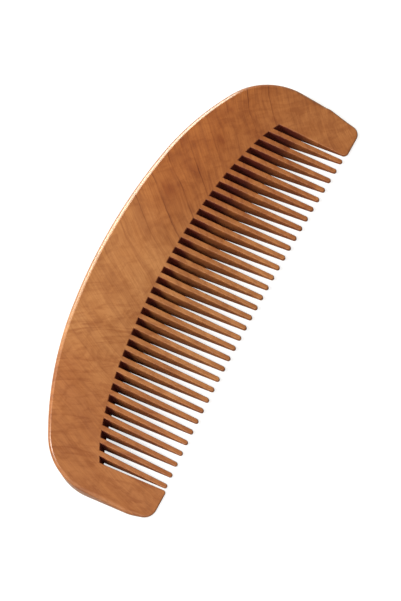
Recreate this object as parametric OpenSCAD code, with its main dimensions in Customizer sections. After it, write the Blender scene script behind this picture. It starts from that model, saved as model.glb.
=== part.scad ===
// Half-moon comb sawn from one board of fruitwood, without glued or fitted parts.
// The shape is drawn about the board's middle plane, with the middle tooth at x = 0 and its tip near y = 0.
// It is then laid on one of its two tapered faces, which is how the loose comb comes to rest.

/* [Board] */
// Thickness of the body behind the ridge
board_thickness = 11; // [10:0.5:12]
// Thickness of the taper at the tip line
tip_thickness = 1.3; // [1.1:0.1:1.6]
// Distance from the tip line to the ridge where the taper ends
ridge_y = 38.8; // [37.5:0.1:40]
// Radius that softens the ridge
ridge_radius = 30; // [20:5:40]

/* [Back] */
// Distance from the tip line to the top of the curved back
top_y = 56.1; // [54.1:0.1:58.1]
// Distance of that top to the right of the middle tooth
top_x = 7.8; // [6:0.2:9]
// Radius of the back at its top
back_radius = 175; // [170:1:180]
// Arc of the top that lies to the right
back_right_arc = 9.9; // [9:0.1:11.4]
// Arc of the top that lies to the left
back_left_arc = 9.3; // [9.2:0.1:11]
// Radius of the right shoulder
right_shoulder_radius = 80; // [76:1:84]
// Arc of the right shoulder
right_shoulder_arc = 22; // [20.7:0.1:23.1]
// Radius of the left shoulder
left_shoulder_radius = 120; // [116:1:124]
// Arc of the left shoulder
left_shoulder_arc = 21.6; // [21.5:0.1:23]
// Radius of the right end
right_end_radius = 21.8; // [20.8:0.2:23]
// Arc of the right end
right_end_arc = 64.5; // [63:0.1:66]
// Radius of the left end
left_end_radius = 21; // [20.5:0.1:22.5]
// Arc of the left end
left_end_arc = 59.5; // [59.4:0.1:61]

/* [Rounded rim] */
// Radius of the round along the rim
rim_radius = 3; // [2.5:0.1:3.5]
// Height of that round at full thickness, less than its radius so that a crisp line is left on the face
rim_drop = 2.9; // [2.4:0.1:2.9]

/* [Teeth] */
// Number of teeth, odd
tooth_count = 33; // [31:2:33]
// Distance from tooth to tooth
pitch = 3.75; // [3.65:0.01:3.8]
// Width of a tooth at its root
root_width = 1.7; // [1.5:0.05:1.85]
// Width of a tooth at its tip
tip_width = 1.45; // [1.2:0.05:1.5]
// Fall of the line of tips from the middle tooth to the outermost ones
tip_fall = 1.75; // [1:0.05:2]
// Rise of the tip line to the right, in millimetres per millimetre
tip_lean = 0.008; // [0:0.001:0.012]
// Longest slot, from the tip line to its floor at the middle
slot_depth = 32.6; // [31:0.1:33.5]
// Half length of the ellipse on which the slots end
root_half_length = 68; // [67:0.5:70]
// Half height of that ellipse
root_half_height = 18.5; // [17:0.1:20]
// Rise of the slot floors to the right, in millimetres per millimetre
root_lean = 0.0246; // [0:0.001:0.03]

/* [Guards] */
// Width at its floor of the slot beside the left guard
left_gap = 1.9; // [1.6:0.05:2.1]
// Width at its floor of the slot beside the right guard
right_gap = 2.15; // [1.6:0.05:2.3]
// Angle at which the left guard's inner wall closes in towards the teeth
left_lean = 3.4; // [2.4:0.1:3.8]
// Angle at which the right guard's inner wall closes in towards the teeth
right_lean = 1.8; // [0.6:0.1:2.5]
// Distance of the left guard's end below the tip line
left_reach = 2.5; // [1.8:0.1:3]
// Distance of the right guard's end below the tip line
right_reach = 1.4; // [1.1:0.1:2]
// Radius over which a guard's outer wall bends in above its corner
ease_radius = 14; // [12:0.5:16]
// Length of the right guard's straight outer wall
right_wall_run = 9.5; // [9:0.1:11]
// Arc of the bend below it
right_ease_arc = 7.5; // [6:0.5:9]
// Radius of the right guard's outer corner
right_toe_radius = 3.4; // [3:0.1:3.8]
// Length of the left guard's straight outer wall
left_wall_run = 13.9; // [13:0.1:14.5]
// Arc of the bend below it
left_ease_arc = 13.5; // [12:0.5:15]
// Radius of the left guard's outer corner
left_toe_radius = 4.1; // [3.8:0.1:4.5]
// Radius of the right guard's inner corner
right_inner_radius = 1.6; // [1.2:0.1:1.8]
// Radius of the left guard's inner corner
left_inner_radius = 0.9; // [0.7:0.1:1.2]

/* [Hidden] */
$fn = 96;

half_board = board_thickness / 2;
half_tip = tip_thickness / 2;
taper_angle = atan((half_board - half_tip) / ridge_y);
rough = half_board + 1;
band = 8;
inset = 5;
slant = 4;
// Each stretch of the rim lies this much further in than the one before, so that no two faces almost coincide
step = 0.02;
last_tooth = (tooth_count - 1) / 2;
root_overlap = 1;

// Each side of the rim is a walk from the top of the back, turning right: a straight run, then a bend
right_bends = [
    [0, back_radius, back_right_arc],
    [0, right_shoulder_radius, right_shoulder_arc],
    [0, right_end_radius, right_end_arc],
    [right_wall_run, ease_radius, right_ease_arc]
];
left_bends = [
    [0, back_radius, back_left_arc],
    [0, left_shoulder_radius, left_shoulder_arc],
    [0, left_end_radius, left_end_arc],
    [left_wall_run, ease_radius, left_ease_arc]
];

function run(bend) = bend[0];
function radius(bend) = bend[1];
function arc(bend) = bend[2];
function onward(heading) = [cos(heading), sin(heading)];
function outward(heading) = [-sin(heading), cos(heading)];

// Heading before a bend, the points where it starts and ends, and its centre
function heading_at(bends, n) = n == 0 ? 0 : heading_at(bends, n - 1) - arc(bends[n - 1]);
function start_of(bends, n) =
    (n == 0 ? [0, top_y] : end_of(bends, n - 1)) + run(bends[n]) * onward(heading_at(bends, n));
function centre_of(bends, n) = start_of(bends, n) - radius(bends[n]) * outward(heading_at(bends, n));
function end_of(bends, n) = centre_of(bends, n) + radius(bends[n]) * outward(heading_at(bends, n + 1));
function furthest(bends) = centre_of(bends, 2)[0] + radius(bends[2]) - 2 * step;

// The last straight run ends at the foot, where the guard's outer corner begins
function last_heading(bends) = heading_at(bends, 4);
function last_run(bends, reach, toe) =
    (toe * (1 + cos(last_heading(bends))) - reach - end_of(bends, 3)[1]) / sin(last_heading(bends));
function foot_of(bends, reach, toe) =
    end_of(bends, 3) + last_run(bends, reach, toe) * onward(last_heading(bends));
function toe_centre(bends, reach, toe) = foot_of(bends, reach, toe) - toe * outward(last_heading(bends));

function root_y(x) = slot_depth + root_lean * x
    - root_half_height * (1 - sqrt(1 - pow(x / root_half_length, 2)));
function tip_y(x) = 0.3 + tip_lean * x - tip_fall * pow(x / (last_tooth * pitch), 2);

right_wall = last_tooth * pitch + tip_width / 2 + right_gap;
left_wall = last_tooth * pitch + tip_width / 2 + left_gap;

// Centre of a guard's round inner corner, measured from the top of the back towards its own side
function corner_at(wall, lean, reach, r, floor) =
    [wall - (floor - r + reach) * tan(lean) + r / cos(lean), r - reach];
right_corner = corner_at(right_wall - top_x, right_lean, right_reach, right_inner_radius, root_y(right_wall));
left_corner = corner_at(left_wall + top_x, left_lean, left_reach, left_inner_radius, root_y(-left_wall));

// Points of one side's core, from the top of the back round to the foot of the inner wall.
// They are set in at a slant, so that none lies on a plane between two bends.
function core_side(bends, reach, toe, corner, lean) = concat(
    [for (n = [0:3], half = [0, 1]) half == 0
        ? start_of(bends, n) - inset * outward(heading_at(bends, n) - slant)
        : centre_of(bends, n)
            + (radius(bends[n]) - inset) * outward(heading_at(bends, n) - arc(bends[n]) / 2)],
    [
        end_of(bends, 3) - inset * outward(last_heading(bends) - slant),
        [toe_centre(bends, reach, toe)[0], -reach],
        [corner[0], -reach],
        corner + (corner[1] + reach) * [-cos(lean), sin(lean)]
    ]
);

right_core = [
    for (p = core_side(right_bends, right_reach, right_toe_radius, right_corner, right_lean))
        [top_x + p[0], p[1]]
];
left_core = [
    for (p = core_side(left_bends, left_reach, left_toe_radius, left_corner, left_lean))
        [top_x - p[0], p[1]]
];
floor_line = concat(
    [[right_wall, root_y(right_wall)]],
    [for (i = [last_tooth:-1:-last_tooth]) [i * pitch, root_y(i * pitch)]],
    [[-left_wall, root_y(-left_wall)]]
);

// Distances that centre the laid comb on the origin
middle_x = top_x + (furthest(right_bends) - furthest(left_bends)) / 2;
rim_centre_z = half_board - rim_drop;
laid_back = (top_y - rim_radius) * cos(taper_angle)
    + (rim_centre_z - half_tip) * sin(taper_angle) + rim_radius;
laid_front = -left_reach * cos(taper_angle)
    - (2 * half_tip - left_reach * tan(taper_angle)) * sin(taper_angle);
middle_y = (laid_back + laid_front) / 2;

// Section of the rim, with its outer face at x = 0
module rim_section(width) {
    translate([-width, -rough])
        square([width - rim_radius, 2 * rough]);
    translate([-width, -rim_centre_z])
        square([width, 2 * rim_centre_z]);
    for (side = [-1, 1])
        translate([-rim_radius, side * rim_centre_z])
            circle(r = rim_radius);
}

// Prism through the points given, thicker than the board
module prism(points) {
    translate([0, 0, -rough])
        linear_extrude(height = 2 * rough)
            polygon(points);
}

module rim_bend(bends, n) {
    before = outward(heading_at(bends, n));
    halfway = outward(heading_at(bends, n) - arc(bends[n]) / 2);
    after = outward(heading_at(bends, n + 1));
    intersection() {
        prism([
            start_of(bends, n) - band * before,
            start_of(bends, n) + 2 * before,
            centre_of(bends, n) + (1.2 * radius(bends[n]) + 2) * halfway,
            end_of(bends, n) + 2 * after,
            end_of(bends, n) - band * after
        ]);
        translate(concat(centre_of(bends, n), 0))
            rotate_extrude()
                translate([radius(bends[n]) - n * step - (n == 3 ? step : 0), 0])
                    rim_section(band + 1);
    }
}

module rim_wall(bends) {
    side = outward(heading_at(bends, 3));
    top = end_of(bends, 2);
    bottom = start_of(bends, 3);
    intersection() {
        prism([top - band * side, top + 2 * side, bottom + 2 * side, bottom - band * side]);
        translate(concat(bottom, 0))
            rotate([90, 0, heading_at(bends, 3) + 90])
                translate([0, 0, -run(bends[3]) - 2])
                    linear_extrude(height = run(bends[3]) + 4)
                        translate([-3 * step, 0])
                            rim_section(band + 1);
    }
}

module post(at, r) {
    translate([at[0], at[1], -rough])
        cylinder(r = r, h = 2 * rough);
}

module side(bends, reach, toe, corner) {
    last = outward(last_heading(bends));
    bent = end_of(bends, 3) - 5 * step * last - 0.5 * onward(last_heading(bends));
    foot = foot_of(bends, reach, toe) - 5 * step * last;
    for (n = [0:3])
        rim_bend(bends, n);
    rim_wall(bends);
    prism([bent, foot, foot - band * last, bent - band * last]);
    post(toe_centre(bends, reach, toe), toe - 6 * step);
    post(corner, corner[1] + reach - step);
}

module core() {
    prism(concat(right_core, floor_line, [for (i = [len(left_core) - 1:-1:1]) left_core[i]]));
}

module tooth(x) {
    low = tip_y(x) + tip_width / 2;
    high = root_y(x) + root_overlap;
    translate([x, 0, -rough])
        linear_extrude(height = 2 * rough) {
            polygon([
                [-tip_width / 2, low],
                [tip_width / 2, low],
                [root_width / 2, high],
                [-root_width / 2, high]
            ]);
            translate([0, low])
                circle(d = tip_width);
        }
}

// The board's own section from tips to back, as long as the comb and a little more
module board() {
    blend_y = ridge_y + ridge_radius * tan(taper_angle / 2);
    upper = [for (i = [6:-1:0]) [
        blend_y - ridge_radius * sin(taper_angle * i / 6),
        half_board - ridge_radius * (1 - cos(taper_angle * i / 6))
    ]];
    point_y = -half_tip / tan(taper_angle) + 0.5;
    point_z = 0.5 * tan(taper_angle);
    rotate([90, 0, 90])
        linear_extrude(height = 200, center = true)
            polygon(concat(
                [[point_y, point_z]],
                upper,
                [[top_y + 5, half_board], [top_y + 5, -half_board]],
                [for (i = [6:-1:0]) [upper[i][0], -upper[i][1]]],
                [[point_y, -point_z]]
            ));
}

module comb() {
    color([0.7, 0.45, 0.27])
        translate([-middle_x, -middle_y, 0])
            rotate([taper_angle, 0, 0])
                translate([0, 0, half_tip])
                    intersection() {
                        union() {
                            core();
                            translate([top_x, 0, 0])
                                side(right_bends, right_reach, right_toe_radius, right_corner);
                            translate([top_x, 0, 0])
                                mirror([1, 0, 0])
                                    side(left_bends, left_reach, left_toe_radius, left_corner);
                            for (i = [-last_tooth:last_tooth])
                                tooth(i * pitch);
                        }
                        board();
                    }
}

comb();
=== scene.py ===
from collections import namedtuple
from math import atan, ceil, cos, pi, radians, sin, sqrt, tan

import bmesh
import bpy
from mathutils import Matrix, Vector
from mathutils.geometry import delaunay_2d_cdt


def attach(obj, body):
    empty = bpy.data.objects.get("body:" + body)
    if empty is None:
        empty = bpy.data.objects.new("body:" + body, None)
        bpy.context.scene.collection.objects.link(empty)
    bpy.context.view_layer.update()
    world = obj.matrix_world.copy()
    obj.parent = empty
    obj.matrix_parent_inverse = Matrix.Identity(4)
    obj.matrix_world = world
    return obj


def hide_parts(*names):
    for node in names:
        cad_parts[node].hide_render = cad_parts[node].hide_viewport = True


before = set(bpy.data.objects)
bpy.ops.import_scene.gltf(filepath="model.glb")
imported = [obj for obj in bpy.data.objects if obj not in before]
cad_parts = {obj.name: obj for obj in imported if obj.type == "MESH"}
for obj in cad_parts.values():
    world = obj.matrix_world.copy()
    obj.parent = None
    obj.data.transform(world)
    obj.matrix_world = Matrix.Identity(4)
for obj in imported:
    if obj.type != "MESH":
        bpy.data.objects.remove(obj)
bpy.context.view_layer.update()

MM = 0.001

# The board: its section from the tips to the back
BOARD_THICKNESS = 11 * MM
TIP_THICKNESS = 1.3 * MM
RIDGE_Y = 38.8 * MM
RIDGE_BLEND = 0.75 * MM
TAPER = (BOARD_THICKNESS - TIP_THICKNESS) / 2 / RIDGE_Y

# The curved back: a walk to each side from its top, turning inwards. rim is the size of the rounded edge
# where the bend ends, against RIM_RADIUS.
Bend = namedtuple("Bend", "run radius arc rim")
TOP = Vector((7.8, 56.1)) * MM
RIGHT_BENDS = [
    Bend(run=0, radius=175 * MM, arc=radians(9.9), rim=1.13),
    Bend(run=0, radius=80 * MM, arc=radians(22), rim=0.96),
    Bend(run=0, radius=21.8 * MM, arc=radians(64.5), rim=0.62),
    Bend(run=9.5 * MM, radius=14 * MM, arc=radians(7.5), rim=0.34),
]
LEFT_BENDS = [
    Bend(run=0, radius=175 * MM, arc=radians(9.3), rim=1.02),
    Bend(run=0, radius=120 * MM, arc=radians(21.6), rim=0.51),
    Bend(run=0, radius=21 * MM, arc=radians(59.5), rim=0.45),
    Bend(run=13.9 * MM, radius=14 * MM, arc=radians(13.5), rim=0.45),
]
TOP_RIM = 1.13

# The rounded edge of the back at full size: its radius and the height that it takes of the wall. EDGE_RADIUS
# is the small plain edge everywhere else.
RIM_RADIUS = 3 * MM
RIM_DROP = 2.9 * MM
EDGE_RADIUS = 0.28 * MM
EDGE_STEPS = 6

# The rim size below which the rounded edge of the back goes over into the small plain one, and the half of
# the wall that every rounded edge leaves
PLAIN_RIM = 0.15
LEAST_HALF_WALL = 0.15 * MM

# The guards at both ends: the bends above each, how far it goes below the tips, its two corners, the lean of
# its inner wall and the gap to the last tooth. END_BEND is the rounded end, where the comb reaches furthest.
Guard = namedtuple("Guard", "bends reach toe_radius inner_radius lean gap")
RIGHT_GUARD = Guard(RIGHT_BENDS, 1.4 * MM, 3.4 * MM, 1.6 * MM, radians(1.8), 2.15 * MM)
LEFT_GUARD = Guard(LEFT_BENDS, 2.5 * MM, 4.1 * MM, 0.9 * MM, radians(3.4), 1.9 * MM)
END_BEND = 2

# How far the outline is drawn in, so that nothing reaches past the solid, and how finely it is divided
SHRINK = 0.055 * MM
STRAIGHT_STEP = 2.5 * MM
BEND_STEP = 1.5 * MM
BEND_ANGLE = radians(3)
LEAST_BEND_STEPS = 3

# Rows of points over the ridge: how far to each side of it, how many, how close, and how far from the outline
RIDGE_REACH = 6 * MM
RIDGE_ROWS = 12
RIDGE_STEP = 6 * MM
RIDGE_INSET = 0.6 * MM

# The teeth and the slots between them
TOOTH_COUNT = 33
LAST_TOOTH = (TOOTH_COUNT - 1) // 2
PITCH = 3.75 * MM
ROOT_WIDTH = 1.7 * MM
TIP_WIDTH = 1.45 * MM
TIP_MIDDLE = 0.3 * MM
TIP_FALL = 1.75 * MM
TIP_LEAN = 0.008
SLOT_DEPTH = 32.6 * MM
ROOT_HALF_LENGTH = 68 * MM
ROOT_HALF_HEIGHT = 18.5 * MM
ROOT_LEAN = 0.0246
TIP_STEPS = 6

# The seam where the blank and the teeth are joined: how far behind the slots, and how close points are welded
SEAM = 1.5 * MM
WELD = 0.001 * MM

# The wood, in millimetres of the drawing: the heart of the tree, the width of a ring, how much further out a
# ring lies per millimetre up through the board, the radius at which length along the fibres is measured, the
# fine rings in each ring, and how late in a ring the wood darkens
HEART = (110.0, -30.0)
RING_WIDTH = 7.4
RING_SLOPE = 0.55
FIBRE_RADIUS = 95.0
FINE_RINGS = 3.0
LATE_WOOD_POWER = 5.0

# Swings of a value to both sides of zero: changes per millimetre, the noise's detail, and the height from the
# lowest to the highest
Swing = namedtuple("Swing", "changes detail height")
TRUNK_SWING = Swing(0.022, 1.0, 7.0)
BOARD_SWING = Swing(0.14, 2.0, 0.9)
TONE_SWING = Swing(0.05, 2.0, 16.0)

# Layers of the grain: changes per millimetre across the rings, along the fibres and up through the board,
# then the noise's detail, roughness and distortion, and the noise values where the layer begins and is full.
# FLECK_BOW bends the flecks: millimetres sideways per square millimetre up from the tips.
Grain = namedtuple("Grain", "across along up detail roughness distortion begin full")
ZONES = Grain(0.1, 0.07, 0.07, 3.0, 0.6, 0.0, 0.34, 0.7)
STREAKS = Grain(0.42, 0.06, 0.2, 4.0, 0.62, 0.6, 0.38, 0.68)
CURL = Grain(0.16, 0.3, 0.16, 3.0, 0.55, 1.4, 0.4, 0.7)
FIBRES = Grain(2.4, 0.11, 1.2, 3.0, 0.6, 0.0, 0.35, 0.7)
PORES = Grain(5.5, 0.7, 4.0, 2.0, 0.5, 0.0, 0.62, 0.74)
FLECKS = Grain(0.5, 0.1, 0.3, 4.0, 0.65, 0.8, 0.46, 0.7)
SPOTS = Grain(0.2, 0.09, 0.1, 2.0, 0.5, 0.0, 0.56, 0.76)
FLECK_BOW = 0.006

# A line in each ring: the parts of the ring's width over which it comes up and goes. A noise breaks it up.
Line = namedtuple("Line", "rise fall")
RING_LINE = Line((0.93, 0.97), (0.975, 0.995))
FINE_LINE = Line((0.7, 0.93), (0.94, 1.0))
LINE_BREAKS, LINE_BREAK_DETAIL = 0.09, 2.0
LINE_BREAK_RANGE = (0.3, 0.65)
LEAST_LINE = 0.05

# Where marks begin and where they are full, in millimetres of the drawing along the comb, or up from the tips
STREAKS_ALONG = (-35.0, 5.0)
LEAST_STREAKS = 0.25
FLECKS_ALONG = (10.0, -25.0)
LINES_ALONG = (-5.0, 30.0)
LINES_UP = (20.0, 34.0)
SPOTS_ALONG = (15.0, 32.0)
RED_ALONG = (-6.0, 40.0)
RED_UP = (12.0, 42.0)
LEAST_RED = 0.55
LEFT_END_ALONG = (-24.0, -46.0)

# The two tones of the plain wood, and the tones that each kind of mark lays over them
LIGHT_WOOD = (0.59, 0.255, 0.086)
WARM_WOOD = (0.49, 0.190, 0.056)
STREAK_TONE = (0.82, 0.75, 0.68)
CURL_TONE = (0.84, 0.77, 0.70)
FIBRE_TONE = (0.86, 0.81, 0.76)
FLECK_TONE = (0.78, 0.67, 0.58)
LATE_WOOD_TONE = (0.80, 0.70, 0.62)
RING_LINE_TONE = (0.55, 0.45, 0.38)
FINE_LINE_TONE = (0.74, 0.66, 0.6)
PORE_TONE = (0.72, 0.66, 0.6)
SPOT_TONE = (0.72, 0.56, 0.46)
RED_TONE = (0.80, 0.60, 0.40)
LEFT_END_TONE = (0.88, 0.76, 0.68)
# darker sawn walls: partly the sawn wood's own tone, partly painted shade on the walls between the teeth
SAWN_AND_SHADE_TONE = (0.88, 0.74, 0.56)
# painted shade for the floors of the slots, where little light gets in
SLOT_SHADE_TONE = (0.37, 0.11, 0.02)

# Painted shade deep in the slots, where little light gets in: its length in millimetres at the left, what it
# gains towards the middle and again towards the right, where along the comb it gains that, and the shares of
# its length where it begins and where it is full
LEAST_SLOT_SHADE = 3.0
MIDDLE_SLOT_SHADE, MIDDLE_ALONG = 2.0, (-20.0, 8.0)
RIGHT_SLOT_SHADE, RIGHT_ALONG = 8.0, (5.0, 45.0)
SLOT_SHADE_SHARES = (1.0, 0.35)

# The surface: how rough it is, what each mark adds, the depth of the grain, and the coat, thinner where sawn
ROUGHNESS = 0.34
STREAK_ROUGHNESS = 0.06
PORE_ROUGHNESS = 0.12
SAWN_ROUGHNESS = 0.45
FIBRE_DEPTH = 0.4
PORE_DEPTH = 0.6
GRAIN_DEPTH = 0.03 * MM
GRAIN_STRENGTH = 0.25
GLOSS = 0.45
COAT = 0.35
SAWN_COAT_LOSS = 0.3
COAT_ROUGHNESS = 0.25

# Camera: its place and the point it looks at, in metres from the middle of the comb's foot print
CAMERA_PLACE = Vector((-0.20036, -0.31420, 0.59177))
CAMERA_AIM = Vector((-0.00410, -0.01034, 0.006))
CAMERA_ROLL = radians(31.95)
CAMERA_LENS = 131.8
CAMERA_SENSOR = 36.0
CAMERA_NEAR = 0.01

# The floor: a mid grey to the light, and white to the camera
FLOOR_SIZE = 6.0
FLOOR_GREY = 0.4
FLOOR_ROUGHNESS = 0.9
FLOOR_GLOW = 0.72

# Lights: place and aim in metres, size, watts and tone. The two at the back and the left light the rim.
Lamp = namedtuple("Lamp", "name place aim width height watts tone")
SOFT_WHITE = (1.0, 0.975, 0.92)
RIM_WHITE = (0.95, 1.0, 0.83)
LAMPS = [
    Lamp("top", (-0.4, 0.95, 1.1), (0, 0, 0), 0.4, 0.4, 14.6, SOFT_WHITE),
    Lamp("over", (-0.5, -0.4, 1.2), (0, 0, 0), 0.4, 0.4, 7.5, SOFT_WHITE),
    Lamp("back", (0.6, 1.18, 0.26), (0, 0, 0.01), 0.8, 0.45, 18, RIM_WHITE),
    Lamp("left", (-1.1, 0.3, 0.5), (0, 0, 0.01), 0.8, 0.5, 3, RIM_WHITE),
]
SURROUND_GLOW = 0.2


def outward(heading):
    return Vector((-sin(heading), cos(heading)))


def onward(heading):
    return Vector((cos(heading), sin(heading)))


def root_y(x):
    bow = 1 - sqrt(1 - (x / ROOT_HALF_LENGTH) ** 2)
    return SLOT_DEPTH + ROOT_LEAN * x - ROOT_HALF_HEIGHT * bow


def half_thickness(y):
    return min(TIP_THICKNESS / 2 + TAPER * y, BOARD_THICKNESS / 2)


# One point of the outline: its place, the way out of the wood there, and the size of the rounded edge
Station = namedtuple("Station", "place out rim")


def straight(start, end, out, rims):
    count = max(1, ceil((end - start).length / STRAIGHT_STEP))
    return [
        Station(start.lerp(end, i / count), out, rims[0] + (rims[1] - rims[0]) * i / count)
        for i in range(1, count + 1)
    ]


def bend(centre, radius, heading, arc, rims):
    """Stations round a bend to the right."""
    count = max(LEAST_BEND_STEPS, ceil(arc / BEND_ANGLE), ceil(radius * arc / BEND_STEP))
    return [
        Station(
            centre + radius * outward(heading - arc * i / count),
            outward(heading - arc * i / count),
            rims[0] + (rims[1] - rims[0]) * i / count,
        )
        for i in range(1, count + 1)
    ]


def side_outline(guard, wall, floor):
    """Stations from the top of the back round one guard to the slot beside it, with x from the top."""
    place, heading, rim = Vector((0, TOP.y)), 0.0, TOP_RIM
    stations = [Station(place, outward(0), rim)]
    for b in guard.bends:
        if b.run:
            end = place + b.run * onward(heading)
            stations += straight(place, end, outward(heading), (rim, rim))
            place = end
        centre = place - b.radius * outward(heading)
        stations += bend(centre, b.radius, heading, b.arc, (rim, b.rim))
        heading -= b.arc
        place, rim = centre + b.radius * outward(heading), b.rim
    run = (guard.toe_radius * (1 + cos(heading)) - guard.reach - place.y) / sin(heading)
    foot = place + run * onward(heading)
    stations += straight(place, foot, outward(heading), (rim, rim))
    toe = foot - guard.toe_radius * outward(heading)
    stations += bend(toe, guard.toe_radius, heading, pi + heading, (rim, 0.0))
    r, down = guard.inner_radius, Vector((0, -1))
    inner_x = wall - (floor - r + guard.reach) * tan(guard.lean) + r / cos(guard.lean)
    inner = Vector((inner_x, r - guard.reach))
    stations += straight(toe + guard.toe_radius * down, inner + r * down, down, (0.0, 0.0))
    stations += bend(inner, r, -pi, pi / 2 + guard.lean, (0.0, 0.0))
    inwards = outward(-1.5 * pi - guard.lean)
    stations += straight(inner + r * inwards, Vector((wall, floor)), inwards, (0.0, 0.0))
    return stations[:-1]


def half_outline(guard, sign):
    """Stations of one half of the outline in the drawing's x, from the top of the back to the last slot."""
    wall_x = sign * (LAST_TOOTH * PITCH + TIP_WIDTH / 2 + guard.gap)
    floor = root_y(wall_x)
    half = [
        Station(
            Vector((TOP.x + sign * s.place.x, s.place.y)) - SHRINK * Vector((sign * s.out.x, s.out.y)),
            Vector((sign * s.out.x, s.out.y)),
            s.rim,
        )
        for s in side_outline(guard, sign * (wall_x - TOP.x), floor)
    ]
    down = Vector((0, -1))
    half.append(Station(Vector((wall_x, floor)), Vector((-sign, 0)) + down, 0.0))
    slot_middle = sign * (LAST_TOOTH + 0.5) * PITCH
    half.append(Station(Vector((slot_middle, root_y(slot_middle))), down, 0.0))
    return half


def edge_profile(rim, y):
    """Steps of the rounded edge from the wall up to the face: how far in, how far below the face, and how
    much of the saw is left on the wood there."""
    steps = []
    rim = min(rim, (half_thickness(y) - LEAST_HALF_WALL) / RIM_DROP)
    full = atan(RIM_DROP / sqrt(RIM_RADIUS ** 2 - RIM_DROP ** 2))
    broad_share = min(1.0, rim / PLAIN_RIM)
    fine_share = 1 - broad_share
    for i in range(EDGE_STEPS + 1):
        fine, broad = i / EDGE_STEPS * pi / 2, i / EDGE_STEPS * full
        inset = EDGE_RADIUS * (1 - cos(fine)) * fine_share + broad_share * rim * RIM_RADIUS * (1 - cos(broad))
        drop = EDGE_RADIUS * (1 - sin(fine)) * fine_share + broad_share * rim * (
            RIM_DROP - RIM_RADIUS * sin(broad))
        steps.append((inset, drop, fine_share * (1 - i / EDGE_STEPS)))
    return steps


def is_corner(station):
    """The way out of a corner is the sum of the ways out of its two walls, so it is longer than 1."""
    return station.out.length > 1.1


class Sheet:
    """Points, faces and marked edges of a mesh whose two faces lie at height 1 and -1 until the board's
    section gives them their place. drop is each point's distance below the face, share says whether a point
    of a tooth goes with the line of tips (0) or with the slot floors (1), and sawn is 1 where the saw left
    the wood matt."""

    def __init__(self):
        self.points, self.faces, self.sharp = [], [], []
        self.marks = {"drop": [], "share": [], "sawn": []}

    def add(self, x, y, side, drop=0.0, share=0.0, sawn=0.0):
        self.points.append((x, y, side))
        for name, value in (("drop", drop), ("share", share), ("sawn", sawn)):
            self.marks[name].append(value)
        return len(self.points) - 1

    def rim(self, stations, profiles, shares):
        """Adds the wall and both rounded edges along the stations. Returns both faces' innermost points."""
        rings = {}
        for side in (1, -1):
            rings[side] = [
                [
                    self.add(*(s.place - inset * s.out), side, drop, share, sawn)
                    for inset, drop, sawn in profile
                ]
                for s, profile, share in zip(stations, profiles, shares)
            ]
        for i in range(len(stations) - 1):
            top_a, top_b = rings[1][i], rings[1][i + 1]
            low_a, low_b = rings[-1][i], rings[-1][i + 1]
            self.faces.append((top_a[0], top_b[0], low_b[0], low_a[0]))
            for k in range(EDGE_STEPS):
                self.faces.append((top_a[k + 1], top_b[k + 1], top_b[k], top_a[k]))
                self.faces.append((low_a[k], low_b[k], low_b[k + 1], low_a[k + 1]))
            self.sharp += [(top_a[-1], top_b[-1]), (low_a[-1], low_b[-1])]
        for i, s in enumerate(stations):
            if is_corner(s):
                for side in (1, -1):
                    self.sharp += list(zip(rings[side][i], rings[side][i][1:]))
                self.sharp.append((rings[1][i][0], rings[-1][i][0]))
        return [r[-1] for r in rings[1]], [r[-1] for r in rings[-1]]

    def make(self, name):
        mesh = bpy.data.meshes.new(name)
        mesh.from_pydata(self.points, [], self.faces)
        for key, values in self.marks.items():
            layer = mesh.attributes.new(key, "FLOAT", "POINT")
            layer.data.foreach_set("value", values)
        marked = {tuple(sorted(pair)) for pair in self.sharp}
        for edge in mesh.edges:
            edge.use_edge_sharp = tuple(sorted(edge.vertices)) in marked
        thing = bpy.data.objects.new(name, mesh)
        bpy.context.scene.collection.objects.link(thing)
        return thing


def seam_offsets():
    """Places across one tooth's cell at which the blank and the teeth are joined."""
    return (-PITCH / 2, -ROOT_WIDTH / 2, ROOT_WIDTH / 2, PITCH / 2)


def make_blank():
    """The board with its back and guards shaped, up to the seam just behind the slots."""
    stations = half_outline(LEFT_GUARD, -1)[::-1] + half_outline(RIGHT_GUARD, 1)[1:]
    sheet = Sheet()
    profiles = [edge_profile(s.rim, s.place.y) for s in stations]
    upper, lower = sheet.rim(stations, profiles, [0.0] * len(stations))

    seam = []
    for tooth in range(LAST_TOOTH, -LAST_TOOTH - 1, -1):
        for offset in seam_offsets()[:0:-1]:
            x = tooth * PITCH + offset
            seam.append((x, root_y(x) + SEAM))
    x = -(LAST_TOOTH + 0.5) * PITCH
    seam.append((x, root_y(x) + SEAM))

    ring = [sheet.points[i][:2] for i in upper]
    rows = ridge_rows(ring)
    flat = [Vector(p) for p in ring + seam + rows]
    border = len(ring) + len(seam)
    edges = [(i, (i + 1) % border) for i in range(border)]
    inside_only, tolerance = 1, 1e-9
    points, _, triangles, sources, _, _ = delaunay_2d_cdt(flat, edges, [], inside_only, tolerance)
    top, bottom = {}, {}
    for i, source in enumerate(sources):
        first = min(source) if source else None
        if first is not None and first < len(ring):
            top[i], bottom[i] = upper[first], lower[first]
        else:
            top[i], bottom[i] = sheet.add(*points[i], 1), sheet.add(*points[i], -1)
    for triangle in triangles:
        sheet.faces.append(tuple(top[i] for i in triangle))
        sheet.faces.append(tuple(bottom[i] for i in reversed(triangle)))
    return sheet.make("comb_blank")


def ridge_rows(ring):
    """Rows of points over the ridge, where the faces turn from the taper to the full thickness."""
    rows = []
    for i in range(RIDGE_ROWS + 1):
        y = RIDGE_Y - RIDGE_REACH + 2 * RIDGE_REACH * i / RIDGE_ROWS
        crossings = sorted(
            a[0] + (b[0] - a[0]) * (y - a[1]) / (b[1] - a[1])
            for a, b in zip(ring, ring[1:])
            if (a[1] - y) * (b[1] - y) < 0
        )
        start, end = crossings[0] + RIDGE_INSET, crossings[-1] - RIDGE_INSET
        steps = ceil((end - start) / RIDGE_STEP)
        rows += [(start + (end - start) * j / steps, y) for j in range(steps + 1)]
    return rows


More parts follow.
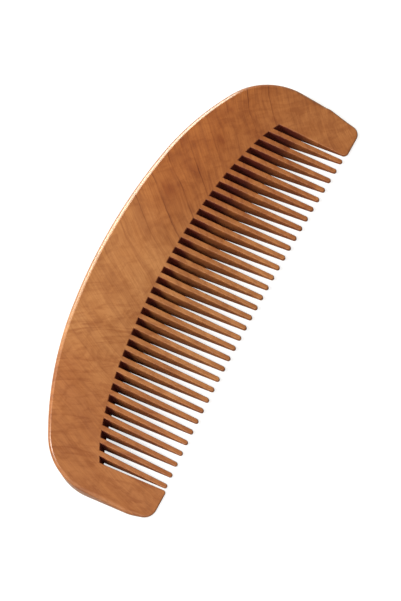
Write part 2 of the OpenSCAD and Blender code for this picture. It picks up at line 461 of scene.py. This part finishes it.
def make_tooth():
    """One tooth with half a slot floor to each side, in a form that the comb's rule stretches into place."""
    half_root, half_tip = ROOT_WIDTH / 2, TIP_WIDTH / 2
    down = Vector((0, -1))
    stations = [
        Station(Vector((-PITCH / 2, 0)), down, 0),
        Station(Vector((-half_root, 0)), Vector((-1, 0)) + down, 0),
    ]
    shares = [1.0, 1.0]
    for i in range(2 * TIP_STEPS + 1):
        out = outward(pi / 2 + pi * i / (2 * TIP_STEPS))
        stations.append(Station(Vector((0, half_tip)) + half_tip * out, out, 0))
        shares.append(0.0)
    stations += [
        Station(Vector((half_root, 0)), Vector((1, 0)) + down, 0),
        Station(Vector((PITCH / 2, 0)), down, 0),
    ]
    shares += [1.0, 1.0]
    sheet = Sheet()
    profiles = [edge_profile(0.0, s.place.y) for s in stations]
    upper, lower = sheet.rim(stations, profiles, shares)
    for inner, side in ((upper, 1), (lower, -1)):
        seam = [sheet.add(x, SEAM, side, 0.0, 1.0) for x in seam_offsets()]
        patches = [
            (inner[0], inner[1], seam[1], seam[0]),
            (inner[1], inner[-2], seam[2], seam[1]),
            (inner[-2], inner[-1], seam[3], seam[2]),
        ]
        for i in range(1, len(inner) // 2):
            row = (inner[i], inner[i + 1], inner[-i - 2], inner[-i - 1])
            patches.append(row if len(set(row)) == 4 else (inner[i], inner[i + 1], inner[-i - 1]))
        sheet.faces += patches if side == 1 else [tuple(reversed(p)) for p in patches]
    return sheet.make("one_tooth")


def calc(tree, operation, *values):
    """A math node; each value is a number or the socket that it comes from."""
    node = tree.nodes.new("ShaderNodeMath")
    node.operation = operation
    for socket, value in zip(node.inputs, values):
        if isinstance(value, (int, float)):
            socket.default_value = value
        else:
            tree.links.new(value, socket)
    return node.outputs[0]


COMB_SIZES = {
    "Tooth Count": ("NodeSocketInt", TOOTH_COUNT),
    "Pitch": ("NodeSocketFloat", PITCH),
    "Slot Depth": ("NodeSocketFloat", SLOT_DEPTH),
    "Floor Half Length": ("NodeSocketFloat", ROOT_HALF_LENGTH),
    "Floor Half Height": ("NodeSocketFloat", ROOT_HALF_HEIGHT),
    "Floor Lean": ("NodeSocketFloat", ROOT_LEAN),
    "Tip Middle": ("NodeSocketFloat", TIP_MIDDLE),
    "Tip Fall": ("NodeSocketFloat", TIP_FALL),
    "Tip Lean": ("NodeSocketFloat", TIP_LEAN),
    "Tip Thickness": ("NodeSocketFloat", TIP_THICKNESS),
    "Board Thickness": ("NodeSocketFloat", BOARD_THICKNESS),
    "Taper": ("NodeSocketFloat", TAPER),
    "Ridge Blend": ("NodeSocketFloat", RIDGE_BLEND),
}


def comb_rule():
    """Geometry nodes: teeth along a line, joined to the blank, then the board's section, then the comb laid
    down."""
    tree = bpy.data.node_groups.new("saw_and_taper", "GeometryNodeTree")
    face = tree.interface
    face.new_socket("Blank", in_out="INPUT", socket_type="NodeSocketGeometry")
    face.new_socket("Tooth", in_out="INPUT", socket_type="NodeSocketObject")
    face.new_socket("Wood", in_out="INPUT", socket_type="NodeSocketMaterial")
    face.new_socket("Laid Place", in_out="INPUT", socket_type="NodeSocketVector")
    for name, (kind, value) in COMB_SIZES.items():
        face.new_socket(name, in_out="INPUT", socket_type=kind).default_value = value
    face.new_socket("Comb", in_out="OUTPUT", socket_type="NodeSocketGeometry")
    given = tree.nodes.new("NodeGroupInput").outputs
    link = tree.links.new

    def node(kind, **values):
        made = tree.nodes.new(kind)
        for key, value in values.items():
            setattr(made, key, value)
        return made

    def attribute(name):
        found = node("GeometryNodeInputNamedAttribute", data_type="FLOAT")
        found.inputs["Name"].default_value = name
        return found.outputs["Attribute"]

    def position():
        parts = node("ShaderNodeSeparateXYZ")
        link(node("GeometryNodeInputPosition").outputs[0], parts.inputs[0])
        return parts.outputs

    def moved(geometry, x, y, z):
        place = node("ShaderNodeCombineXYZ")
        for socket, value in zip(place.inputs, (x, y, z)):
            link(value, socket)
        step = node("GeometryNodeSetPosition")
        link(geometry, step.inputs["Geometry"])
        link(place.outputs[0], step.inputs["Position"])
        return step.outputs[0]

    reach = calc(tree, "MULTIPLY", given["Pitch"], calc(tree, "DIVIDE", calc(
        tree, "SUBTRACT", given["Tooth Count"], 1.0), 2.0))
    start, spacing = node("ShaderNodeCombineXYZ"), node("ShaderNodeCombineXYZ")
    link(calc(tree, "MULTIPLY", reach, -1.0), start.inputs["X"])
    link(given["Pitch"], spacing.inputs["X"])
    line = node("GeometryNodeMeshLine", mode="OFFSET")
    link(given["Tooth Count"], line.inputs["Count"])
    link(start.outputs[0], line.inputs["Start Location"])
    link(spacing.outputs[0], line.inputs["Offset"])
    pattern = node("GeometryNodeObjectInfo")
    link(given["Tooth"], pattern.inputs["Object"])
    row = node("GeometryNodeInstanceOnPoints")
    link(line.outputs[0], row.inputs["Points"])
    link(pattern.outputs["Geometry"], row.inputs["Instance"])
    teeth = node("GeometryNodeRealizeInstances")
    link(row.outputs[0], teeth.inputs[0])

    at = position()
    across = calc(tree, "POWER", calc(tree, "DIVIDE", calc(
        tree, "ABSOLUTE", at["X"]), given["Floor Half Length"]), 2.0)
    bow = calc(tree, "SUBTRACT", 1.0, calc(tree, "SQRT", calc(tree, "SUBTRACT", 1.0, across)))
    floor_y = calc(tree, "ADD", given["Slot Depth"], calc(
        tree, "SUBTRACT", calc(tree, "MULTIPLY", given["Floor Lean"], at["X"]), calc(
            tree, "MULTIPLY", given["Floor Half Height"], bow)))
    fall = calc(tree, "MULTIPLY", given["Tip Fall"], calc(tree, "POWER", calc(
        tree, "DIVIDE", calc(tree, "ABSOLUTE", at["X"]), reach), 2.0))
    tip_y = calc(tree, "ADD", given["Tip Middle"], calc(tree, "SUBTRACT", calc(
        tree, "MULTIPLY", given["Tip Lean"], at["X"]), fall))
    mixed = calc(tree, "MULTIPLY_ADD", attribute("share"), calc(tree, "SUBTRACT", floor_y, tip_y), tip_y)
    stretched = moved(teeth.outputs[0], at["X"], calc(tree, "ADD", mixed, at["Y"]), at["Z"])

    joined = node("GeometryNodeJoinGeometry")
    link(stretched, joined.inputs[0])
    link(given["Blank"], joined.inputs[0])
    welded = node("GeometryNodeMergeByDistance")
    welded.inputs["Distance"].default_value = WELD
    link(joined.outputs[0], welded.inputs["Geometry"])

    at = position()
    taper = calc(tree, "MULTIPLY_ADD", given["Taper"], at["Y"], calc(
        tree, "MULTIPLY", given["Tip Thickness"], 0.5))
    half = calc(tree, "SMOOTH_MIN", taper, calc(
        tree, "MULTIPLY", given["Board Thickness"], 0.5), given["Ridge Blend"])
    height = calc(tree, "MULTIPLY", at["Z"], calc(tree, "SUBTRACT", half, attribute("drop")))
    shaped = moved(welded.outputs[0], at["X"], at["Y"], height)

    laid = node("GeometryNodeTransform")
    link(shaped, laid.inputs["Geometry"])
    link(given["Laid Place"], laid.inputs["Translation"])
    turn = node("ShaderNodeCombineXYZ")
    link(calc(tree, "ARCTANGENT", given["Taper"]), turn.inputs["X"])
    link(turn.outputs[0], laid.inputs["Rotation"])
    whole = node("GeometryNodeRealizeInstances")
    link(laid.outputs[0], whole.inputs[0])
    painted = node("GeometryNodeSetMaterial")
    link(whole.outputs[0], painted.inputs["Geometry"])
    link(given["Wood"], painted.inputs["Material"])
    link(painted.outputs[0], node("NodeGroupOutput").inputs["Comb"])
    return tree


def laid_place():
    """Where the drawing's origin goes when the comb lies on its face, centred like the solid."""
    angle = atan(TAPER)

    def furthest(bends):
        place, heading = Vector((0, 0)), 0.0
        for b in bends[:END_BEND + 1]:
            centre = place - b.radius * outward(heading)
            heading -= b.arc
            place = centre + b.radius * outward(heading)
        return centre.x + bends[END_BEND].radius

    middle_x = TOP.x + (furthest(RIGHT_BENDS) - furthest(LEFT_BENDS)) / 2
    half_tip = TIP_THICKNESS / 2
    rim_z = BOARD_THICKNESS / 2 - RIM_DROP
    back = (TOP.y - RIM_RADIUS) * cos(angle) + (rim_z - half_tip) * sin(angle) + RIM_RADIUS
    reach = LEFT_GUARD.reach
    front = -reach * cos(angle) - (TIP_THICKNESS - reach * TAPER) * sin(angle)
    return Vector((-middle_x, -(back + front) / 2 - half_tip * sin(angle), half_tip * cos(angle)))


def make_comb(wood):
    blank, tooth = make_blank(), make_tooth()
    tree = comb_rule()
    modifier = blank.modifiers.new("saw_and_taper", "NODES")
    modifier.node_group = tree
    values = {name: value for name, (_, value) in COMB_SIZES.items()}
    values.update({"Tooth": tooth, "Wood": wood, "Laid Place": laid_place()})
    for socket in tree.interface.items_tree:
        if socket.name in values:
            modifier[socket.identifier] = values[socket.name]
    bpy.context.view_layer.update()
    shape = bpy.data.meshes.new_from_object(blank.evaluated_get(bpy.context.evaluated_depsgraph_get()))
    blank.modifiers.remove(modifier)
    for thing in (blank, tooth):
        bpy.data.objects.remove(thing)
    for key in ("drop", "share"):
        shape.attributes.remove(shape.attributes[key])
    build = bmesh.new()
    build.from_mesh(shape)
    bmesh.ops.recalc_face_normals(build, faces=build.faces)
    build.to_mesh(shape)
    build.free()
    shape.shade_smooth()
    shape.name = "wooden_comb"
    comb = bpy.data.objects.new("wooden_comb", shape)
    bpy.context.scene.collection.objects.link(comb)
    return comb


def product(tree, first, second):
    return calc(tree, "MULTIPLY", first, second)


def total(tree, first, second):
    return calc(tree, "ADD", first, second)


def difference(tree, first, second):
    return calc(tree, "SUBTRACT", first, second)


def scaled(tree, value, factor, offset):
    return calc(tree, "MULTIPLY_ADD", value, factor, offset)


def noise(tree, vector, scale, detail, roughness=0.5, distortion=0.0):
    node = tree.nodes.new("ShaderNodeTexNoise")
    node.inputs["Scale"].default_value = scale
    node.inputs["Detail"].default_value = detail
    node.inputs["Roughness"].default_value = roughness
    node.inputs["Distortion"].default_value = distortion
    tree.links.new(vector, node.inputs["Vector"])
    return node.outputs["Fac"]


def swing(tree, place, size):
    """A value that drifts over the wood to both sides of zero."""
    return scaled(tree, noise(tree, place, size.changes, size.detail), size.height, -size.height / 2)


def spread(tree, value, low, high):
    """A mask that goes softly from 0 at low to 1 at high."""
    node = tree.nodes.new("ShaderNodeMapRange")
    node.interpolation_type = "SMOOTHSTEP"
    node.inputs["From Min"].default_value = low
    node.inputs["From Max"].default_value = high
    tree.links.new(value, node.inputs["Value"])
    return node.outputs["Result"]


def grain(tree, layer, across, along, up):
    """The mask of one layer of the grain."""
    stretched = tree.nodes.new("ShaderNodeCombineXYZ")
    for socket, value, changes in zip(stretched.inputs, (across, along, up), layer[:3]):
        tree.links.new(product(tree, value, changes), socket)
    lumps = noise(tree, stretched.outputs[0], 1.0, layer.detail, layer.roughness, layer.distortion)
    return spread(tree, lumps, layer.begin, layer.full)


def ring_line(tree, place, line):
    """The mask of a thin line at one place in each ring, where place runs from 0 to 1 over the ring."""
    before_fall = difference(tree, 1.0, spread(tree, place, *line.fall))
    return product(tree, spread(tree, place, *line.rise), before_fall)


def stain(tree, colour, mask, tone, strength):
    """Lays a tone over the colour where the mask is, by multiplying."""
    node = tree.nodes.new("ShaderNodeMix")
    node.data_type = "RGBA"
    node.blend_type = "MULTIPLY"
    factor, below, above = node.inputs[0], node.inputs[6], node.inputs[7]
    tree.links.new(product(tree, mask, strength), factor)
    tree.links.new(colour, below)
    above.default_value = (*tone, 1)
    return node.outputs[2]


def board_coordinates(tree):
    """Millimetres in the board's own directions: along the comb, from the tips to the back, and up."""
    angle = -atan(TAPER)
    mapping = tree.nodes.new("ShaderNodeMapping")
    mapping.inputs["Scale"].default_value = (1 / MM, 1 / MM, 1 / MM)
    mapping.inputs["Rotation"].default_value = (angle, 0, 0)
    mapping.inputs["Location"].default_value = Matrix.Rotation(angle, 3, "X") @ laid_place() / -MM
    tree.links.new(tree.nodes.new("ShaderNodeTexCoord").outputs["Object"], mapping.inputs["Vector"])
    parts = tree.nodes.new("ShaderNodeSeparateXYZ")
    tree.links.new(mapping.outputs[0], parts.inputs[0])
    return mapping.outputs[0], parts.outputs["X"], parts.outputs["Y"], parts.outputs["Z"]


def tree_coordinates(tree, place, x, y, z):
    """Distance from the heart of the tree, with the slow swings of the trunk, and length along the fibres."""
    from_heart_x = difference(tree, x, HEART[0])
    from_heart_y = difference(tree, y, HEART[1])
    distance = calc(tree, "SQRT", total(
        tree, product(tree, from_heart_x, from_heart_x), product(tree, from_heart_y, from_heart_y)))
    swings = total(tree, swing(tree, place, TRUNK_SWING), swing(tree, place, BOARD_SWING))
    across = total(tree, total(tree, distance, product(tree, z, RING_SLOPE)), swings)
    along = product(tree, calc(tree, "ARCTAN2", from_heart_y, from_heart_x), FIBRE_RADIUS)
    return across, along


def painted_slot_shade(tree, x, y):
    """Painted shade in the slots: darkens their floors, and more of their walls at the right."""
    part = calc(tree, "DIVIDE", x, ROOT_HALF_LENGTH / MM)
    bow = difference(tree, 1.0, calc(tree, "SQRT", difference(tree, 1.0, product(tree, part, part))))
    floor_y = difference(
        tree, scaled(tree, x, ROOT_LEAN, SLOT_DEPTH / MM), product(tree, bow, ROOT_HALF_HEIGHT / MM))
    length = scaled(tree, spread(tree, x, *MIDDLE_ALONG), MIDDLE_SLOT_SHADE, LEAST_SLOT_SHADE)
    length = scaled(tree, spread(tree, x, *RIGHT_ALONG), RIGHT_SLOT_SHADE, length)
    return spread(tree, calc(tree, "DIVIDE", difference(tree, floor_y, y), length), *SLOT_SHADE_SHARES)


def wood_material():
    """Polished pearwood. The heart of the tree lies far to the lower right, and the rings run round it."""
    material = bpy.data.materials.new("pearwood")
    material.use_nodes = True
    tree = material.node_tree
    shader = tree.nodes["Principled BSDF"]
    place, x, y, z = board_coordinates(tree)
    across, along = tree_coordinates(tree, place, x, y, z)
    sawn_mark = tree.nodes.new("ShaderNodeAttribute")
    sawn_mark.attribute_name = "sawn"
    sawn = sawn_mark.outputs["Fac"]

    # Streaks along the fibres, curl across them, and short steep flecks that only the left half has
    streaks = grain(tree, STREAKS, across, along, z)
    streaks_here = scaled(tree, spread(tree, x, *STREAKS_ALONG), 1 - LEAST_STREAKS, LEAST_STREAKS)
    curl = grain(tree, CURL, across, along, z)
    fibres = grain(tree, FIBRES, across, along, z)
    pores = grain(tree, PORES, across, along, z)
    bowed = total(tree, x, product(tree, product(tree, y, y), FLECK_BOW))
    flecks = product(tree, grain(tree, FLECKS, bowed, y, z), spread(tree, x, *FLECKS_ALONG))
    spots = product(tree, grain(tree, SPOTS, across, along, z), spread(tree, x, *SPOTS_ALONG))

    # Growth rings: each darkens slowly and ends in a thin dark line, clear at the right and faint at the left
    rings = calc(tree, "DIVIDE", across, RING_WIDTH)
    ring_place = calc(tree, "FRACT", rings)
    fine_place = calc(tree, "FRACT", product(tree, rings, FINE_RINGS))
    late_wood = calc(tree, "POWER", ring_place, LATE_WOOD_POWER)
    clear = scaled(tree, spread(tree, x, *LINES_ALONG), 1 - LEAST_LINE, LEAST_LINE)
    clear = product(tree, clear, spread(tree, y, *LINES_UP))
    breaks = noise(tree, place, LINE_BREAKS, LINE_BREAK_DETAIL)
    broken = product(tree, clear, spread(tree, breaks, *LINE_BREAK_RANGE))

    # The tone drifts to red at the right, and turns a little darker at the left end. The paler middle that
    # the red drift leaves is partly the wood's tone and partly a painted sheen.
    drift = total(tree, x, swing(tree, place, TONE_SWING))
    redder_up = scaled(tree, spread(tree, y, *RED_UP), 1 - LEAST_RED, LEAST_RED)
    redder = product(tree, spread(tree, drift, *RED_ALONG), redder_up)

    plain = tree.nodes.new("ShaderNodeMix")
    plain.data_type = "RGBA"
    plain.inputs[6].default_value = (*LIGHT_WOOD, 1)
    plain.inputs[7].default_value = (*WARM_WOOD, 1)
    tree.links.new(grain(tree, ZONES, across, along, z), plain.inputs[0])
    colour = plain.outputs[2]
    for mask, tone, strength in (
        (product(tree, streaks, streaks_here), STREAK_TONE, 1.0),
        (curl, CURL_TONE, 0.9),
        (fibres, FIBRE_TONE, 1.0),
        (flecks, FLECK_TONE, 1.0),
        (late_wood, LATE_WOOD_TONE, 0.5),
        (product(tree, ring_line(tree, ring_place, RING_LINE), broken), RING_LINE_TONE, 0.85),
        (product(tree, ring_line(tree, fine_place, FINE_LINE), broken), FINE_LINE_TONE, 0.5),
        (pores, PORE_TONE, 0.5),
        (spots, SPOT_TONE, 1.0),
        # redder at the right; the paler middle that this leaves is partly a painted sheen
        (redder, RED_TONE, 1.0),
        (spread(tree, drift, *LEFT_END_ALONG), LEFT_END_TONE, 1.0),
        # sawn walls darker: partly their own tone, partly painted shade between the teeth
        (sawn, SAWN_AND_SHADE_TONE, 1.0),
        # painted shade deep in the slots, on their floors and walls
        (product(tree, painted_slot_shade(tree, x, y), sawn), SLOT_SHADE_TONE, 1.0),
    ):
        colour = stain(tree, colour, mask, tone, strength)
    tree.links.new(colour, shader.inputs["Base Color"])

    matt = scaled(tree, streaks, STREAK_ROUGHNESS, ROUGHNESS)
    matt = total(tree, matt, product(tree, sawn, SAWN_ROUGHNESS))
    tree.links.new(total(tree, matt, product(tree, pores, PORE_ROUGHNESS)), shader.inputs["Roughness"])
    bump = tree.nodes.new("ShaderNodeBump")
    bump.invert = True
    bump.inputs["Strength"].default_value = GRAIN_STRENGTH
    bump.inputs["Distance"].default_value = GRAIN_DEPTH
    relief = total(tree, product(tree, fibres, FIBRE_DEPTH), product(tree, pores, PORE_DEPTH))
    tree.links.new(relief, bump.inputs["Height"])
    tree.links.new(bump.outputs[0], shader.inputs["Normal"])
    shader.inputs["Specular IOR Level"].default_value = GLOSS
    tree.links.new(scaled(tree, sawn, -SAWN_COAT_LOSS, COAT), shader.inputs["Coat Weight"])
    shader.inputs["Coat Roughness"].default_value = COAT_ROUGHNESS
    return material


def add_camera():
    data = bpy.data.cameras.new("camera")
    data.lens = CAMERA_LENS
    data.sensor_width = CAMERA_SENSOR
    data.clip_start = CAMERA_NEAR
    camera = bpy.data.objects.new("camera", data)
    turn = (CAMERA_AIM - CAMERA_PLACE).to_track_quat("-Z", "Y").to_matrix().to_4x4()
    camera.matrix_world = Matrix.Translation(CAMERA_PLACE) @ turn @ Matrix.Rotation(-CAMERA_ROLL, 4, "Z")
    bpy.context.scene.collection.objects.link(camera)
    bpy.context.scene.camera = camera


def add_floor():
    half = FLOOR_SIZE / 2
    corners = [(-half, -half, 0), (half, -half, 0), (half, half, 0), (-half, half, 0)]
    mesh = bpy.data.meshes.new("floor")
    mesh.from_pydata(corners, [], [(0, 1, 2, 3)])
    floor = bpy.data.objects.new("floor", mesh)
    bpy.context.scene.collection.objects.link(floor)
    material = bpy.data.materials.new("floor_white")
    material.use_nodes = True
    shader = material.node_tree.nodes["Principled BSDF"]
    shader.inputs["Base Color"].default_value = (FLOOR_GREY, FLOOR_GREY, FLOOR_GREY, 1)
    shader.inputs["Roughness"].default_value = FLOOR_ROUGHNESS
    shader.inputs["Specular IOR Level"].default_value = 0.0
    seen = material.node_tree.nodes.new("ShaderNodeLightPath")
    material.node_tree.links.new(seen.outputs["Is Camera Ray"], shader.inputs["Emission Color"])
    shader.inputs["Emission Strength"].default_value = FLOOR_GLOW
    mesh.materials.append(material)


def add_light(lamp):
    data = bpy.data.lights.new(lamp.name, "AREA")
    data.shape = "RECTANGLE"
    data.size = lamp.width
    data.size_y = lamp.height
    data.energy = lamp.watts
    data.color = lamp.tone
    light = bpy.data.objects.new(lamp.name, data)
    light.location = lamp.place
    light.rotation_mode = "QUATERNION"
    light.rotation_quaternion = (Vector(lamp.aim) - Vector(lamp.place)).to_track_quat("-Z", "Y")
    bpy.context.scene.collection.objects.link(light)


def add_surround():
    world = bpy.data.worlds.new("world")
    world.use_nodes = True
    background = world.node_tree.nodes["Background"]
    background.inputs["Color"].default_value = (1, 1, 1, 1)
    background.inputs["Strength"].default_value = SURROUND_GLOW
    bpy.context.scene.world = world


comb = make_comb(wood_material())
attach(comb, "root")
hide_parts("comb")

add_floor()
add_camera()
for lamp in LAMPS:
    add_light(lamp)
add_surround()
bpy.context.scene.view_settings.view_transform = "Standard"
